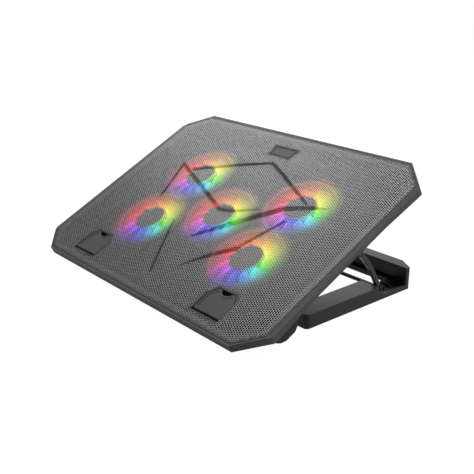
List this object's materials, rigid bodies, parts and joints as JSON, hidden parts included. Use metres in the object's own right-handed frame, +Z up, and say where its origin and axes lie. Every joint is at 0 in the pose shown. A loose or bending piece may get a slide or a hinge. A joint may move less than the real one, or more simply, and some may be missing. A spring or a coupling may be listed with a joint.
{
  "type": "laptop cooling pad",
  "caption": "Tilting laptop cooling pad: perforated fan deck with flip-up stops, lit fans, and a folding stand with a prop that sets the tilt.",
  "frame": {"origin": "middle of the bounding box in plan, on the table", "axes": "+X to the right as the user sits, +Y away from the user towards the raised edge, +Z up"},
  "size_m": [0.36, 0.233, 0.1232],
  "materials": {
    "mesh": "satin perforated sheet steel",
    "deck_plastic": "fine textured moulding",
    "cover_plastic": "fine textured moulding",
    "plate": "satin, bare",
    "stop_plastic": "smooth moulding",
    "stop_tray": "smooth moulding",
    "steel": "bright",
    "rod_steel": "black",
    "link_plastic": "smooth moulding",
    "fan_plastic": "translucent grey moulding",
    "motor": "copper windings on a steel core",
    "light": "smoked light guide",
    "board": "solder mask",
    "socket": "nickel plated",
    "button": "smooth",
    "wire": "insulated lead",
    "base_plastic": "fine textured moulding",
    "foot_rubber": "matt"
  },
  "bodies": {
    "base": {"base_frame": "base_plastic", "base_feet": "foot_rubber"},
    "deck": {"mesh_panel": "mesh", "deck_frame": "deck_plastic", "bottom_cover": "cover_plastic", "name_plate": "plate", "stop_housing_left": "stop_tray", "stop_housing_right": "stop_tray", "stop_pin_left": "steel", "stop_pin_right": "steel", "fan_motor_1": "motor", "fan_motor_2": "motor", "fan_motor_3": "motor", "fan_motor_4": "motor", "fan_motor_5": "motor", "light_ring_1": "light", "light_ring_2": "light", "light_ring_3": "light", "light_ring_4": "light", "light_ring_5": "light", "control_board": "board", "usb_socket_left": "socket", "usb_socket_right": "socket", "fan_harness": "wire", "cover_screws": "steel", "hinge_pin_left": "steel", "hinge_pin_right": "steel", "prop_pin_left": "steel", "prop_pin_right": "steel"},
    "prop": {"prop_link_left": "link_plastic", "prop_link_right": "link_plastic", "prop_rod": "rod_steel"},
    "stop_left": {"stop_left": "stop_plastic"},
    "stop_right": {"stop_right": "stop_plastic"},
    "fan_1": {"impeller_1": "fan_plastic", "fan_shaft_1": "steel"},
    "fan_2": {"impeller_2": "fan_plastic", "fan_shaft_2": "steel"},
    "fan_3": {"impeller_3": "fan_plastic", "fan_shaft_3": "steel"},
    "fan_4": {"impeller_4": "fan_plastic", "fan_shaft_4": "steel"},
    "fan_5": {"impeller_5": "fan_plastic", "fan_shaft_5": "steel"},
    "fan_button": {"fan_button": "button"},
    "light_button": {"light_button": "button"}
  },
  "joints": [
    {"name": "deck_tilt", "type": "hinge", "parent": "base", "child": "deck", "pos_m": [0, -0.05167, 0.0098], "axis": [1, 0, 0], "range_deg": [-21.8, 0]},
    {"name": "prop_fold", "type": "hinge", "parent": "deck", "child": "prop", "pos_m": [0, 0.03223, 0.05442], "axis": [1, 0, 0], "range_deg": [0, 65.4]},
    {"name": "stop_left_flip", "type": "hinge", "parent": "deck", "child": "stop_left", "pos_m": [-0.103, -0.09985, 0.01381], "axis": [1, 0, 0], "range_deg": [0, 90]},
    {"name": "stop_right_flip", "type": "hinge", "parent": "deck", "child": "stop_right", "pos_m": [0.103, -0.09985, 0.01381], "axis": [1, 0, 0], "range_deg": [0, 90]},
    {"name": "fan_1_spin", "type": "hinge", "parent": "deck", "child": "fan_1", "pos_m": [-0.078, -0.0304, 0.03735], "axis": [0, -0.4509, 0.8926], "continuous": true},
    {"name": "fan_2_spin", "type": "hinge", "parent": "deck", "child": "fan_2", "pos_m": [0.078, -0.0304, 0.03735], "axis": [0, -0.4509, 0.8926], "continuous": true},
    {"name": "fan_3_spin", "type": "hinge", "parent": "deck", "child": "fan_3", "pos_m": [0, 0.00048, 0.05295], "axis": [0, -0.4509, 0.8926], "continuous": true},
    {"name": "fan_4_spin", "type": "hinge", "parent": "deck", "child": "fan_4", "pos_m": [-0.078, 0.03851, 0.07215], "axis": [0, -0.4509, 0.8926], "continuous": true},
    {"name": "fan_5_spin", "type": "hinge", "parent": "deck", "child": "fan_5", "pos_m": [0.078, 0.03851, 0.07215], "axis": [0, -0.4509, 0.8926], "continuous": true},
    {"name": "fan_button_press", "type": "slide", "parent": "deck", "child": "fan_button", "axis": [0, -0.8926, -0.4509], "range_m": [0, 0.001], "stiffness_N_per_m": 400, "springref_m": -0.0005},
    {"name": "light_button_press", "type": "slide", "parent": "deck", "child": "light_button", "axis": [0, -0.8926, -0.4509], "range_m": [0, 0.001], "stiffness_N_per_m": 400, "springref_m": -0.0005}
  ],
  "couplings": [
    {"joint": "prop_fold", "follows": "deck_tilt", "ratio": -3}
  ]
}
